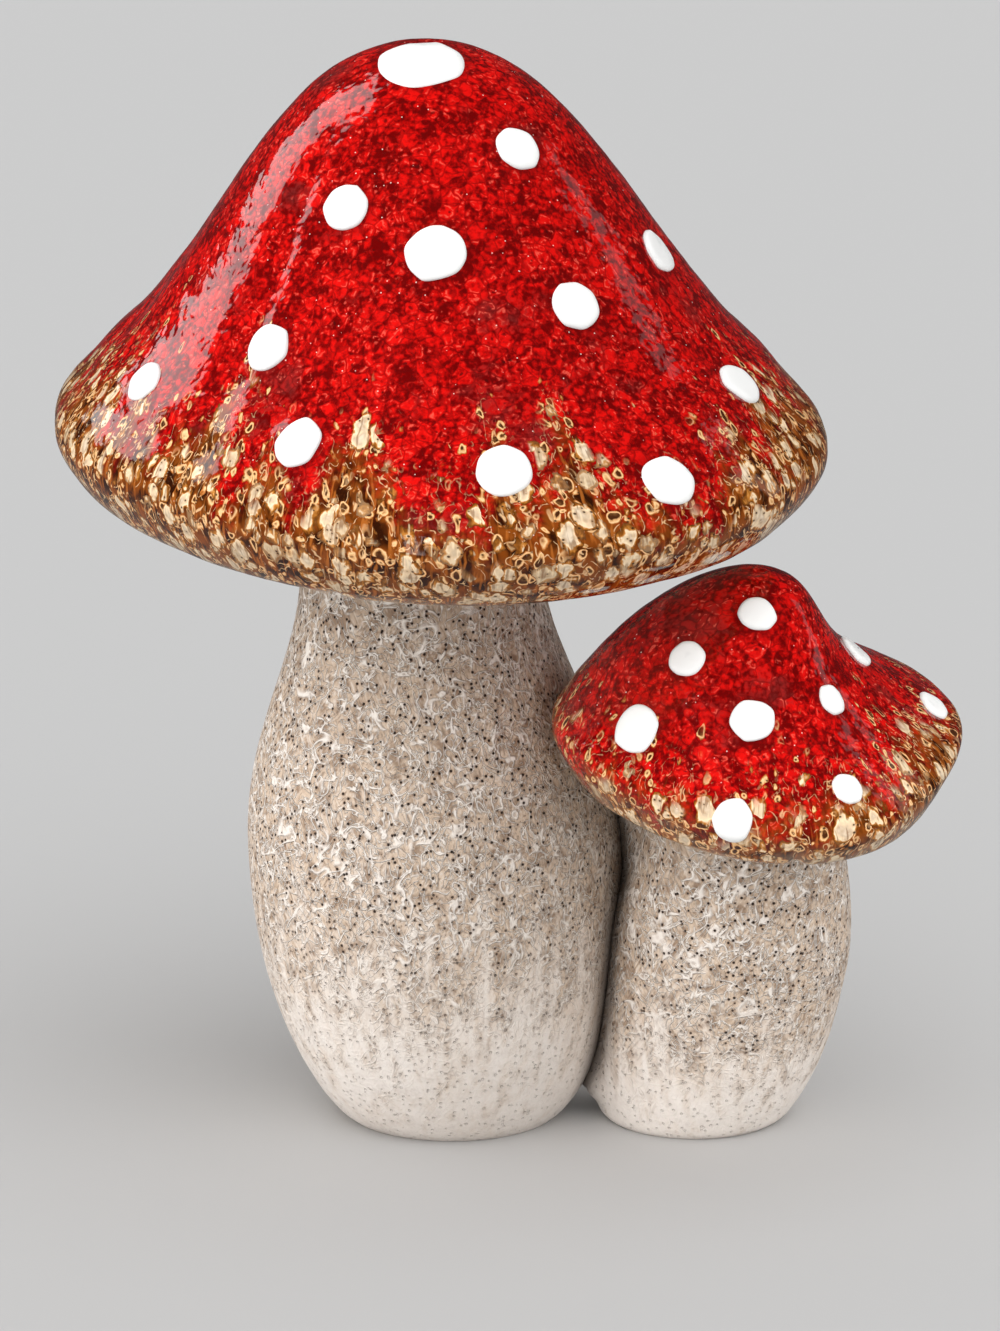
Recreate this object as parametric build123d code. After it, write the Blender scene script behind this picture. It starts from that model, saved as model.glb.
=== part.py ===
from build123d import *
import math
import os

os.makedirs("parts", exist_ok=True)

# A pair of hollow stoneware toadstools, millimetres, +Z up, -Y towards the viewer.
# The origin is on the floor under the middle of the pair.

# Cast clay
wall = 5.0
slip_gap = 0.3
vent_share = 0.28

# Tall stem
large_foot_x = -9.9
large_foot_y = 1.4
large_foot_r = 19.6
large_belly_r = 34.9
large_belly_z = 48.0
large_neck_r = 22.2
large_neck_z = 104.0
large_seat_z = 122.6
large_lean_x = -6.7
large_lean_y = 0.0
large_foot_round = 0.7
large_neck_round = 1.18
large_shoulder = 3.0

# Short stem, leaning forward and to the right
small_foot_x = 34.6
small_foot_y = -0.8
small_foot_r = 16.2
small_belly_r = 22.4
small_belly_z = 30.5
small_neck_r = 17.0
small_neck_z = 71.0
small_seat_z = 72.8
small_lean_x = 8.6
small_lean_y = -18.2
small_foot_round = 0.55
small_neck_round = 1.0
small_shoulder = 2.8

# How far up the stem the lean grows
large_lean_bow = 1.0
small_lean_bow = 2.0
lean_power_y = 1.3

# Big cap, tipped a little forward and to the right
large_cap_r = 70.6
large_cap_h = 73.2
large_cap_lip = 8.7
large_dish = 4.3
large_cap_off_x = 4.7
large_cap_off_y = -1.0
large_cap_pitch = 5.4
large_cap_roll = -0.3
large_cap_oval = 0.083
large_cap_oval_turn = 120.0
large_cap_tri = 0.011
large_cap_tri_turn = 73.0
large_cap_quad = 0.018
large_crown_shift = -2.3
large_flank_shift = 0.2

# Little cap, tipped well forward, its flank swept to the left
small_cap_r = 36.2
small_cap_h = 34.1
small_cap_lip = 6.8
small_dish = 3.7
small_cap_off_x = 4.0
small_cap_off_y = -0.35
small_cap_pitch = 12.0
small_cap_roll = 2.3
small_cap_oval = 0.055
small_cap_oval_turn = 43.0
small_cap_tri = 0.078
small_cap_tri_turn = 287.5
small_cap_quad = 0.0
small_crown_shift = -4.2
small_flank_shift = -6.3

# The bell curve of both caps, as shares of the cap's radius and height
shoulder_r_share = 0.346
shoulder_h_share = 0.845
flank_r_share = 0.596
flank_h_share = 0.525
flare_r_share = 0.871
flare_h_share = 0.215
lip_turn_r_share = 0.942
lip_turn_share = 0.635
lip_r_share = 0.82
dish_r_share = 0.74
crown_flat_share = 0.015
lobe_power = 1.6

# Joining slip and the clay bridge between the stems
large_bead = 3.0
small_bead = 2.2
web_r = 8.5
web_low = 4.5
web_high = 12.0
web_round = 2.0
fill_r = 5.0
fill_back = 3.0
fill_low = 44.0
fill_over = 4.0
fill_rings = 5

# Raised white dots
spot_rise = 1.0
spot_depth = 0.8
glaze_film = 0.08
seam_turns = (45, 0, 80, 20)

# Dots dabbed by hand on the seen side: turn about the cap, height share, width
large_spots = (
    (268.0, 0.992, 17.1), (308.0, 0.822, 8.5), (243.5, 0.709, 8.5), (272.0, 0.633, 10.4),
    (343.0, 0.532, 8.6), (304.0, 0.499, 9.2), (232.0, 0.402, 9.4), (334.0, 0.254, 9.6),
    (203.5, 0.249, 8.8), (246.5, 0.238, 9.9), (280.5, 0.221, 10.5), (305.0, 0.162, 9.4),
)
small_spots = (
    (276.0, 0.913, 6.7), (239.0, 0.703, 6.8), (20.0, 0.449, 7.2), (227.0, 0.358, 9.0), (279.0, 0.490, 7.8),
    (323.5, 0.477, 6.0), (13.5, 0.159, 6.5), (301.0, 0.197, 6.1), (261.5, 0.115, 7.0),
)

# Dots on the far side, stepped round in three rows
large_back_count = 8
large_back_start = 34.0
large_back_step = 16.0
large_back_width = 9.5
small_back_count = 5
small_back_start = 68.0
small_back_step = 15.0
small_back_width = 7.0
back_low_share = 0.2
back_row_share = 0.27

# Sections used to draw the curved forms
ring_points = 24
cap_rings = 15
stem_rings = 13

large_stem_sizes = dict(
    x=large_foot_x, y=large_foot_y, foot_r=large_foot_r, belly_r=large_belly_r, belly_z=large_belly_z,
    neck_r=large_neck_r, neck_z=large_neck_z, seat_z=large_seat_z, lean_x=large_lean_x, lean_y=large_lean_y,
    lean_bow=large_lean_bow,
    foot_round=large_foot_round, neck_round=large_neck_round, shoulder=large_shoulder, bead=large_bead,
)
small_stem_sizes = dict(
    x=small_foot_x, y=small_foot_y, foot_r=small_foot_r, belly_r=small_belly_r, belly_z=small_belly_z,
    neck_r=small_neck_r, neck_z=small_neck_z, seat_z=small_seat_z, lean_x=small_lean_x, lean_y=small_lean_y,
    lean_bow=small_lean_bow,
    foot_round=small_foot_round, neck_round=small_neck_round, shoulder=small_shoulder, bead=small_bead,
)
large_cap_sizes = dict(
    r=large_cap_r, h=large_cap_h, lip=large_cap_lip, dish=large_dish, off_x=large_cap_off_x,
    off_y=large_cap_off_y, pitch=large_cap_pitch, roll=large_cap_roll, crown=large_crown_shift,
    flank=large_flank_shift,
    lobes=((2, large_cap_oval, large_cap_oval_turn), (3, large_cap_tri, large_cap_tri_turn),
           (4, large_cap_quad, 0.0)),
)
small_cap_sizes = dict(
    r=small_cap_r, h=small_cap_h, lip=small_cap_lip, dish=small_dish, off_x=small_cap_off_x,
    off_y=small_cap_off_y, pitch=small_cap_pitch, roll=small_cap_roll, crown=small_crown_shift,
    flank=small_flank_shift,
    lobes=((2, small_cap_oval, small_cap_oval_turn), (3, small_cap_tri, small_cap_tri_turn),
           (4, small_cap_quad, 0.0)),
)


def stem_radius(stem, z):
    """Round foot swelling to the belly, then drawing in to a straight neck."""
    if z <= stem["belly_z"]:
        share = (max(z, 0.0) / stem["belly_z"]) ** stem["foot_round"]
        return stem["foot_r"] + (stem["belly_r"] - stem["foot_r"]) * math.sin(math.pi / 2 * share)
    share = min(1.0, (z - stem["belly_z"]) / (stem["neck_z"] - stem["belly_z"])) ** stem["neck_round"]
    return stem["neck_r"] + (stem["belly_r"] - stem["neck_r"]) * (1 + math.cos(math.pi * share)) / 2


def stem_centre(stem, z):
    """The stem's axis at a height: it stands on its foot and leans as it rises."""
    share = max(z, 0.0) / stem["seat_z"]
    bowed = 1 - (1 - share) * abs(1 - share) ** (stem["lean_bow"] - 1)
    x = stem["x"] + stem["lean_x"] * bowed
    y = stem["y"] + stem["lean_y"] * share ** lean_power_y
    return x, y


def stem_form(stem, low, high, grow=0.0):
    """Solid of round sections between two heights, its skin moved out by grow."""
    rings = []
    for k in range(stem_rings):
        z = low + (high - low) * (k / (stem_rings - 1)) ** 1.5
        x, y = stem_centre(stem, z)
        rings.append(Pos(x, y, z) * Circle(stem_radius(stem, z) + grow))
    return loft(rings)


def gap_point(z, back):
    """Middle of the gap between the two stems at a height, or a point that far behind it."""
    large_x, large_y = stem_centre(large_stem_sizes, z)
    small_x, small_y = stem_centre(small_stem_sizes, z)
    large_r = stem_radius(large_stem_sizes, z)
    small_r = stem_radius(small_stem_sizes, z)
    apart = math.hypot(small_x - large_x, small_y - large_y)
    way_x = (small_x - large_x) / apart
    way_y = (small_y - large_y) / apart
    out = (large_r + apart - small_r) / 2
    return large_x + way_x * out - way_y * back, large_y + way_y * out + way_x * back


def gap_column(low, high, radius, back):
    """Column of clay that follows the gap between the stems."""
    rings = []
    for k in range(fill_rings):
        z = low + (high - low) * k / (fill_rings - 1)
        x, y = gap_point(z, back)
        rings.append(Pos(x, y, z) * Circle(radius))
    return loft(rings)


def bell_curve(cap):
    """Generating curve of a cap, radius along X and height along Y, from crown to lip."""
    r = cap["r"]
    h = cap["h"]
    return Spline(
        (0, h),
        (r * shoulder_r_share, h * shoulder_h_share),
        (r * flank_r_share, h * flank_h_share),
        (r * flare_r_share, h * flare_h_share),
        (r, 0),
        (r * lip_turn_r_share, -cap["lip"] * lip_turn_share),
        (r * lip_r_share, -cap["lip"]),
        tangents=((1, 0), (-1, 0)),
    )


def cap_ring(cap, radius, height):
    """Lobed closed outline of a cap at one height, with the sideways sweep of crown and flank."""
    rise = max(0.0, min(1.0, height / cap["h"]))
    shift = cap["crown"] * rise + cap["flank"] * math.sin(math.pi * rise)
    weight = min(1.0, radius / cap["r"]) ** lobe_power
    points = []
    for k in range(ring_points):
        points.append(lobed_point(cap, radius, height, shift, weight, 2 * math.pi * k / ring_points))
    even_steps = [k / ring_points for k in range(ring_points + 1)]
    return make_face(Edge.make_spline(points, periodic=True, parameters=even_steps))


def lobed_point(cap, radius, height, shift, weight, angle):
    swell = 1.0
    for count, size, turn in cap["lobes"]:
        swell += weight * size * math.cos(count * (angle - math.radians(turn)))
    return (shift + radius * swell * math.cos(angle), radius * swell * math.sin(angle), height)


def ring_place(k):
    """Place of a section along the bell curve, closer together towards the lip."""
    return 1 - (1 - crown_flat_share) * (1 - k / (cap_rings - 1)) ** 1.5


def cap_form(cap):
    """Outside of a cap, closed flat inside the lip."""
    curve = bell_curve(cap)
    rings = []
    for k in range(cap_rings):
        p = curve @ ring_place(k)
        rings.append(cap_ring(cap, p.X, p.Y))
    return loft(rings)


def cap_cavity(cap):
    """Inside of a cap: the bell moved in by the wall, closed flat one wall above the lip."""
    curve = bell_curve(cap)
    floor = wall - cap["lip"]
    rings = []
    for k in range(cap_rings):
        p = curve @ ring_place(k)
        d = curve % ring_place(k)
        radius = p.X + wall * d.Y
        height = p.Y - wall * d.X
        if radius > 0.5 and height > floor + wall and d.Y < -0.05:
            rings.append(cap_ring(cap, radius, height))
    last = (cap["r"] - wall * 1.4)
    rings.append(cap_ring(cap, last, floor))
    return loft(rings)


def dish_form(cap, neck_reach, lift):
    """Shallow hollow under a cap: a flat seat round the neck sloping down to the lip."""
    seat = cap["dish"] - cap["lip"] + lift
    edge = -cap["lip"] + lift
    outer = cap["r"] * dish_r_share
    profile = make_face(Polyline(
        (0, edge - cap["dish"]), (outer, edge - cap["dish"]), (outer, edge), (neck_reach, seat), (0, seat),
        close=True,
    ))
    return revolve(Plane.XZ * profile, Axis.Z)


def placed(cap, stem):
    """Where a cap sits: its seat on the stem's axis at the seat height, tipped by pitch and roll."""
    x, y = stem_centre(stem, stem["seat_z"])
    tip = Rot(0, cap["roll"], 0) * Rot(cap["pitch"], 0, 0)
    return Pos(x, y, stem["seat_z"]) * tip * Pos(cap["off_x"], cap["off_y"], cap["lip"] - cap["dish"])


def neck_axis(cap):
    """The neck's axis on the seat, in the cap's own frame."""
    return Pos(-cap["off_x"], -cap["off_y"], cap["dish"] - cap["lip"])


def tenon_r(stem):
    return stem["neck_r"] - stem["shoulder"]


def hollow_cap(cap, stem, place, form, keep_out):
    """Cap shell with a dished underside and a round socket for the neck's tenon."""
    reach = math.hypot(cap["off_x"], cap["off_y"]) + stem["neck_r"] + stem["bead"] + 1.0
    cavity = cap_cavity(cap) - dish_form(cap, reach + wall / 2, wall)
    if keep_out is not None:
        cavity = cavity - place.inverse() * keep_out
    socket = Cylinder(tenon_r(stem) + slip_gap, 3 * wall)
    shell = form - cavity - dish_form(cap, reach, 0.0) - neck_axis(cap) * socket
    return place * shell


def hollow_stem(cap, stem, place, keep_out):
    """Vase-like stem: flat foot with a vent, square shoulder and a tenon into the cap."""
    top = stem["seat_z"]
    over = neck_over(cap, stem)
    seat = place * neck_axis(cap)
    span = 6 * wall + 4 * stem["neck_r"]
    deep = 4 * wall + 2 * over
    body = stem_form(stem, 0.0, top + over) - seat * Pos(0, 0, deep / 2) * Box(span, span, deep)
    cavity = stem_form(stem, wall, top - over - wall, -wall)
    if keep_out is not None:
        cavity = cavity - keep_out
    tenon = seat * Pos(0, 0, wall / 2) * Cylinder(tenon_r(stem), 2 * wall)
    bore = seat * Cylinder(tenon_r(stem) - wall, 2 * over + 6 * wall)
    vent = Pos(stem["x"], stem["y"], 0) * Cylinder(stem["foot_r"] * vent_share, 3 * wall)
    return body + tenon - cavity - bore - vent


def neck_over(cap, stem):
    """How far the tipped seat rises and falls across the neck, with a little to spare."""
    return stem["neck_r"] * math.tan(math.radians(abs(cap["pitch"]) + abs(cap["roll"]))) + 2.0


def neck_bead(cap, stem, place, stem_skin):
    """Ring of slip wiped into the corner under the cap, hollow-faced, against neck and seat."""
    inner = stem["neck_r"] - 2 * stem["bead"]
    outer = stem["neck_r"] + stem["bead"]
    tail = stem["neck_r"] - 0.5 * stem["bead"]
    low = -1.5 * stem["bead"]
    face = make_face([
        Line((inner, 0), (outer, 0)),
        RadiusArc((outer, 0), (tail, low), 2 * stem["bead"]),
        Line((tail, low), (inner, low)),
        Line((inner, low), (inner, 0)),
    ])
    ring = revolve(Plane.XZ * face, Axis.Z)
    return place * neck_axis(cap) * Rot(0, 0, 45) * ring - stem_skin


def bell_parameter(cap, curve, share):
    """Parameter of the bell curve at a share of the cap's height."""
    low = 0.0
    high = 1.0
    for step in range(40):
        middle = (low + high) / 2
        if (curve @ middle).Y > share * cap["h"]:
            low = middle
        else:
            high = middle
    return low


def skin_point(cap, curve, t, angle):
    p = curve @ t
    rise = max(0.0, min(1.0, p.Y / cap["h"]))
    shift = cap["crown"] * rise + cap["flank"] * math.sin(math.pi * rise)
    weight = min(1.0, p.X / cap["r"]) ** lobe_power
    return Vector(*lobed_point(cap, p.X, p.Y, shift, weight, angle))


def spot(cap, form, place, turn, share, width):
    """Drop of enamel: a ball cap that follows the bow of the skin, seated on its glaze film."""
    curve = bell_curve(cap)
    t = bell_parameter(cap, curve, share)
    angle = math.radians(turn)
    near = 0.01
    middle = skin_point(cap, curve, t, angle)
    round_a = skin_point(cap, curve, t, angle - near)
    round_b = skin_point(cap, curve, t, angle + near)
    down_a = skin_point(cap, curve, t - near, angle)
    down_b = skin_point(cap, curve, t + near, angle)
    out = (down_b - down_a).cross(round_b - round_a).normalized()
    bend_round = (middle * 2 - round_a - round_b).dot(out) / (middle - round_a).length ** 2
    bend_down = (middle * 2 - down_a - down_b).dot(out) / (middle - down_a).length ** 2
    r = width / 2
    bow = r * r * (bend_round + bend_down) / 4
    fall = spot_rise + bow
    ball_r = (r * r + fall * fall) / (2 * fall)
    low = -bow - spot_depth
    half = math.acos((ball_r - spot_rise + low) / ball_r)
    centre = spot_rise - ball_r
    face = make_face([
        ThreePointArc(
            (0, spot_rise),
            (ball_r * math.sin(half / 2), centre + ball_r * math.cos(half / 2)),
            (ball_r * math.sin(half), low),
        ),
        Line((ball_r * math.sin(half), low), (0, low)),
        Line((0, low), (0, spot_rise)),
    ])
    dome = revolve(Plane.XZ * face, Axis.Z)
    frame = Plane(origin=middle, x_dir=round_b - round_a, z_dir=out)
    for seam in seam_turns:
        dot = (frame.location * Rot(0, 0, seam) * dome - form).solids().sort_by(SortBy.VOLUME)[-1]
        if dot.is_valid and dot.volume < 0.8 * dome.volume:
            break
    return place * Pos(out * glaze_film) * dot


def back_spots(count, start, step, width):
    rows = []
    for k in range(count):
        rows.append((start + step * k, back_low_share + back_row_share * (k % 3), width))
    return tuple(rows)


large_place = placed(large_cap_sizes, large_stem_sizes)
small_place = placed(small_cap_sizes, small_stem_sizes)
large_cap_form = cap_form(large_cap_sizes)
small_cap_form = cap_form(small_cap_sizes)
large_top = large_seat_z + neck_over(large_cap_sizes, large_stem_sizes)
small_top = small_seat_z + neck_over(small_cap_sizes, small_stem_sizes)
large_skin = stem_form(large_stem_sizes, 0.0, large_top)
small_skin = stem_form(small_stem_sizes, 0.0, small_top)
large_guard = stem_form(large_stem_sizes, 0.0, large_top, wall)

nodes = {}
nodes["large_stem"] = hollow_stem(large_cap_sizes, large_stem_sizes, large_place, None)
nodes["small_stem"] = hollow_stem(
    small_cap_sizes, small_stem_sizes, small_place, large_guard) - large_skin
nodes["large_cap"] = hollow_cap(large_cap_sizes, large_stem_sizes, large_place, large_cap_form, None)
nodes["small_cap"] = hollow_cap(
    small_cap_sizes, small_stem_sizes, small_place, small_cap_form, large_guard) - large_skin
nodes["large_neck_bead"] = neck_bead(large_cap_sizes, large_stem_sizes, large_place, large_skin)
nodes["small_neck_bead"] = neck_bead(
    small_cap_sizes, small_stem_sizes, small_place, small_skin) - large_skin

# Clay bridges fill the gap between the two stems, just above the floor and under the short cap
web_x, web_y = gap_point((web_low + web_high) / 2, 0)
web = Cylinder(web_r, web_high - web_low)
web = fillet(web.edges().group_by(Axis.Z)[0], web_round)
web = Pos(web_x, web_y, (web_low + web_high) / 2) * web
nodes["foot_web"] = web - large_skin - small_skin
fill = gap_column(fill_low, small_seat_z + fill_over, fill_r, fill_back) - large_skin - small_skin
fill = fill - nodes["small_cap"] - nodes["small_neck_bead"]
nodes["neck_web"] = fill.solids().sort_by(SortBy.VOLUME)[-1]

large_all = large_spots + back_spots(large_back_count, large_back_start, large_back_step, large_back_width)
small_all = small_spots + back_spots(small_back_count, small_back_start, small_back_step, small_back_width)
for k, (turn, share, width) in enumerate(large_all):
    name = f"large_spot_{k + 1:02d}"
    nodes[name] = spot(large_cap_sizes, large_cap_form, large_place, turn, share, width)
for k, (turn, share, width) in enumerate(small_all):
    name = f"small_spot_{k + 1:02d}"
    nodes[name] = spot(small_cap_sizes, small_cap_form, small_place, turn, share, width)

for name, shape in nodes.items():
    export_step(shape, f"parts/{name}.step")
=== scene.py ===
import math

import bpy
import numpy as np
from mathutils import Matrix, Vector, noise
from mathutils.bvhtree import BVHTree


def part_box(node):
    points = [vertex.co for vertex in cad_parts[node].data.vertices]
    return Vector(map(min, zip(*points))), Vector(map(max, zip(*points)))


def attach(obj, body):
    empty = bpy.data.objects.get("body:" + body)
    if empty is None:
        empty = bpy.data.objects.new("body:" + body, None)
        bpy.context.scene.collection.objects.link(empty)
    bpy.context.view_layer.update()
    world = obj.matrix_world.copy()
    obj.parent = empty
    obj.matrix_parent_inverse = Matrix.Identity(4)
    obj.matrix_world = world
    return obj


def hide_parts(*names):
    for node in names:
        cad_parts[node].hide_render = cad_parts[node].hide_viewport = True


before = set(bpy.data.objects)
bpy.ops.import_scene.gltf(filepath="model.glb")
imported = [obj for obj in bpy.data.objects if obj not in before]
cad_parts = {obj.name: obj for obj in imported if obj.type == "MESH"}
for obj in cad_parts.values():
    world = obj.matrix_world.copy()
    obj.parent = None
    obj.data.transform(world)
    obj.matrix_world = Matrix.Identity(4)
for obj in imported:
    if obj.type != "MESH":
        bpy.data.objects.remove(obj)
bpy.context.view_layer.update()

# Tall stem
# The stem of the tall toadstool: hollow stoneware, cast in a mould and fettled by hand, with
# a vent in its flat foot. Its thin wash has crawled into pale hairs round brown pinholes.
BODY = "root"
MM = 0.001
FOOT_LIFT = 0.02 * MM
FOOT_SHARE = 0.97
VENT_SHARE = 0.28
VENT_EDGE = 0.03
VENT_DEPTH = 5.0 * MM
ROW_CROWDING = 1.2
SKIN_EASE = 1.5
BRIDGE_EASE = 5.0
SEAM_END = 0.6 * MM
SEAM_FADE = 0.4 * MM
SEAM_LAP = 0.45 * MM
SEAM_FREE = 0.1 * MM
# How far the painted shade in the crease between the stems reaches, and how fast it fades
GROOVE_SHADE_REACH = 6.5 * MM
GROOVE_SHADE_FALL = 1.8
# Lumps of the skin: how deep in millimetres, how far apart in millimetres, and a seed
STEM_LUMPS = ((0.34, 17, 1), (0.16, 5.5, 2), (0.05, 2.2, 3))
LUMPS_FROM = 3 * MM


def skin_of(name):
    """A node's faces, ready for finding where a straight line meets them."""
    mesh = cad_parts[name].data
    return BVHTree.FromPolygons([v.co for v in mesh.vertices], [p.vertices for p in mesh.polygons])


def gaps_to(points, skin):
    """How far each point is from a skin."""
    near = [skin.find_nearest(Vector(p))[3] for p in points.reshape(-1, 3)]
    return np.array(near).reshape(points.shape[:-1])


def ease(values, spread, axis):
    """Evens out a ring of values, going round, over a spread of steps."""
    beat = np.fft.rfftfreq(values.shape[axis])
    shape = [1] * values.ndim
    shape[axis] = -1
    soft = np.exp(-2 * (math.pi * spread * beat) ** 2).reshape(shape)
    return np.fft.irfft(np.fft.rfft(values, axis=axis) * soft, values.shape[axis], axis=axis)


def ease_open(values, spread):
    """The same along the first axis of an open strip, with both ends kept where they are."""
    count = values.shape[0]
    line = np.linspace(0, 1, count).reshape([-1] + [1] * (values.ndim - 1))
    chord = values[0] + (values[-1] - values[0]) * line
    rest = values - chord
    folded = np.concatenate([rest, -rest[::-1]], axis=0)
    return ease(folded, spread, 0)[:count] + chord


def ring_mesh(name, rings, **values):
    """A closed mesh through rings of points, with a value per ring point for each name given."""
    rows, around = rings.shape[:2]
    ends = np.stack([rings[0].mean(0), rings[-1].mean(0)])
    points = np.concatenate([rings.reshape(-1, 3), ends])
    k, j = np.meshgrid(np.arange(rows - 1), np.arange(around), indexing="ij")
    step = (j + 1) % around
    below, over = k * around, (k + 1) * around
    quads = np.stack([below + j, below + step, over + step, over + j], -1)
    faces = quads.reshape(-1, 4).tolist()
    first, last = rows * around, rows * around + 1
    for j in range(around):
        faces.append([first, (j + 1) % around, j])
        faces.append([last, (rows - 1) * around + j, (rows - 1) * around + (j + 1) % around])
    mesh = bpy.data.meshes.new(name)
    mesh.from_pydata(points.tolist(), [], faces)
    mesh.polygons.foreach_set("use_smooth", np.ones(len(faces), bool))
    for key, value in values.items():
        at_ends = [value[row].reshape(around, -1).mean(0)[None] for row in (0, -1)]
        flat = np.concatenate([value.reshape(rows * around, -1)] + at_ends)
        kind, plug = ("FLOAT", "value") if flat.shape[1] == 1 else ("FLOAT_VECTOR", "vector")
        held = mesh.attributes.new(key, kind, "POINT").data
        held.foreach_set(plug, flat.astype(np.float32).ravel())
    piece = bpy.data.objects.new(name, mesh)
    bpy.context.scene.collection.objects.link(piece)
    return piece


def hills(points, size, seed):
    """Soft hills and hollows between 0 and 1, as far apart as size, at an array of points."""
    shift = Vector((seed * 7.13, seed * 3.71, seed * 5.37))
    flat = points.reshape(-1, 3) / size
    high = [0.5 + 0.5 * noise.noise(Vector(p) + shift) for p in flat]
    return np.array(high).reshape(points.shape[:-1])


def lumps_at(points, lumps):
    """How deep hand-made lumps lie in the skin at an array of points, in millimetres."""
    return sum(depth * hills(points, size * MM, seed) for depth, size, seed in lumps)


def groove_by(points, skin):
    """How much painted shade falls on points: 1 close to the other stem's skin, fading to 0 some
    millimetres away.
    """
    return np.clip(1 - gaps_to(points, skin) / GROOVE_SHADE_REACH, 0, 1) ** GROOVE_SHADE_FALL


def stem_rings(name, top, rows, around, against=None, bridges=()):
    """Rings up a stem's outside, met by lines from all round, from the foot's vent to its top."""
    skin = skin_of(name)
    low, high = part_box(name)
    reach = (high - low).length
    heights = FOOT_LIFT + (top - FOOT_LIFT) * np.linspace(0, 1, rows) ** ROW_CROWDING
    turns = np.linspace(0, 2 * math.pi, around, endpoint=False)

    def far(x, y, z, turn, skin=skin):
        way = Vector((math.cos(turn), math.sin(turn), 0))
        spot = skin.ray_cast(Vector((x, y, z)) + way * reach, -way)[0]
        return (spot - Vector((x, y, z))).dot(way) if spot else 0.0

    middles = []
    guess = (low + high) / 2
    for z in heights:
        x = guess.x + (far(guess.x, guess.y, z, 0) - far(guess.x, guess.y, z, math.pi)) / 2
        y = guess.y + (far(x, guess.y, z, math.pi / 2) - far(x, guess.y, z, -math.pi / 2)) / 2
        middles.append((x, y))
    middles = np.array(middles)
    curve = [np.polyval(np.polyfit(heights, middles[:, axis], 3), heights) for axis in (0, 1)]

    def all_round(skin):
        levels = zip(curve[0], curve[1], heights)
        return np.array([[far(x, y, z, turn, skin) for turn in turns] for x, y, z in levels])

    far_out = ease_open(ease(all_round(skin), SKIN_EASE, 1), SKIN_EASE)
    for bridge in bridges:
        swell = np.maximum(all_round(skin_of(bridge)) - far_out, 0)
        far_out += ease_open(ease(swell, BRIDGE_EASE, 1), BRIDGE_EASE)
    ways = np.stack([np.cos(turns), np.sin(turns)], -1)
    rings = np.zeros((rows, around, 3))
    rings[..., 2] = heights[:, None]
    for axis in (0, 1):
        rings[..., axis] = curve[axis][:, None] + far_out * ways[:, axis]
    push = np.zeros((rows, around))
    if against is not None:
        push = np.clip((SEAM_END - gaps_to(rings, against)) / SEAM_FADE, 0, 1) * SEAM_LAP
        rings[..., :2] += push[..., None] * ways
    worn = lumps_at(rings, STEM_LUMPS) * np.clip(rings[..., 2] / LUMPS_FROM, 0, 1)
    worn *= push < SEAM_FREE
    rings[..., :2] -= (worn * MM)[..., None] * ways
    foot = rings[0].copy()
    foot[:, 2] = 0
    middle = foot.mean(0)
    wide = np.linalg.norm(foot - middle, axis=1).mean()
    circle = np.concatenate([ways * wide, np.zeros((around, 1))], -1)
    vent_top = middle + circle * VENT_SHARE
    vent_top[:, 2] = VENT_DEPTH
    vent = middle + circle * VENT_SHARE
    vent_edge = middle + circle * (VENT_SHARE + VENT_EDGE)
    foot_edge = middle + (foot - middle) * FOOT_SHARE
    return np.concatenate([np.stack([vent_top, vent, vent_edge, foot_edge, foot]), rings[1:]])


def add(tree, kind, plugs=None, **settings):
    """A shader node with its settings made, and a number or an outlet in each plug."""
    node = tree.nodes.new(kind)
    for key, value in settings.items():
        setattr(node, key, value)
    for plug, value in (plugs or {}).items():
        if isinstance(value, bpy.types.NodeSocket):
            tree.links.new(value, node.inputs[plug])
        else:
            node.inputs[plug].default_value = value
    return node


def calc(tree, operation, *values):
    return add(tree, "ShaderNodeMath", dict(enumerate(values)), operation=operation).outputs[0]


def move(tree, operation, *values):
    vectors = dict(enumerate(values))
    return add(tree, "ShaderNodeVectorMath", vectors, operation=operation).outputs[0]


def times(tree, first, second):
    return calc(tree, "MULTIPLY", first, second)


def sway(tree, value, amount, base):
    """A base made more or less by a value that goes up and down about 0.5."""
    return calc(tree, "MULTIPLY_ADD", calc(tree, "SUBTRACT", value, 0.5), amount, base)


def fade(tree, value, low, high):
    """0 where the value is at low, 1 where it is at high, and smooth between."""
    plugs = {"Value": value, "From Min": low, "From Max": high}
    return add(tree, "ShaderNodeMapRange", plugs, interpolation_type="SMOOTHSTEP").outputs[0]


def line_at(tree, value, level, outer, inner):
    """1 along the line where a value passes a level, fading to 0 beside it."""
    off = calc(tree, "ABSOLUTE", calc(tree, "SUBTRACT", value, level))
    return fade(tree, off, outer, inner)


def tint(tree, amount, under, over):
    plugs = {0: amount, 6: under, 7: over}
    return add(tree, "ShaderNodeMix", plugs, data_type="RGBA").outputs[2]


def stain(tree, under, over, mask, strength):
    """A colour laid over another where a mask is, with a strength."""
    return tint(tree, times(tree, mask, strength), under, over)


def cloud(tree, place, size, detail=2.0):
    """Cloudy values about 0.5, with clouds of a size in the same measure as the place."""
    plugs = {"Vector": place, "Scale": 1 / size, "Detail": detail}
    return add(tree, "ShaderNodeTexNoise", plugs).outputs["Fac"]


def warp(tree, place, size, amount):
    """The place shaken about by clouds of a size."""
    plugs = {"Vector": place, "Scale": 1 / size, "Detail": 1.0}
    shake = add(tree, "ShaderNodeTexNoise", plugs).outputs["Color"]
    centred = move(tree, "SUBTRACT", shake, (0.5, 0.5, 0.5))
    return move(tree, "ADD", place, move(tree, "MULTIPLY", centred, (amount, amount, amount)))


def cells(tree, place, size, feature="F1"):
    plugs = {"Vector": place, "Scale": 1 / size}
    return add(tree, "ShaderNodeTexVoronoi", plugs, feature=feature).outputs


def picks(tree, colour):
    """Three chance values for each cell."""
    return add(tree, "ShaderNodeSeparateColor", {0: colour}).outputs


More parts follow.
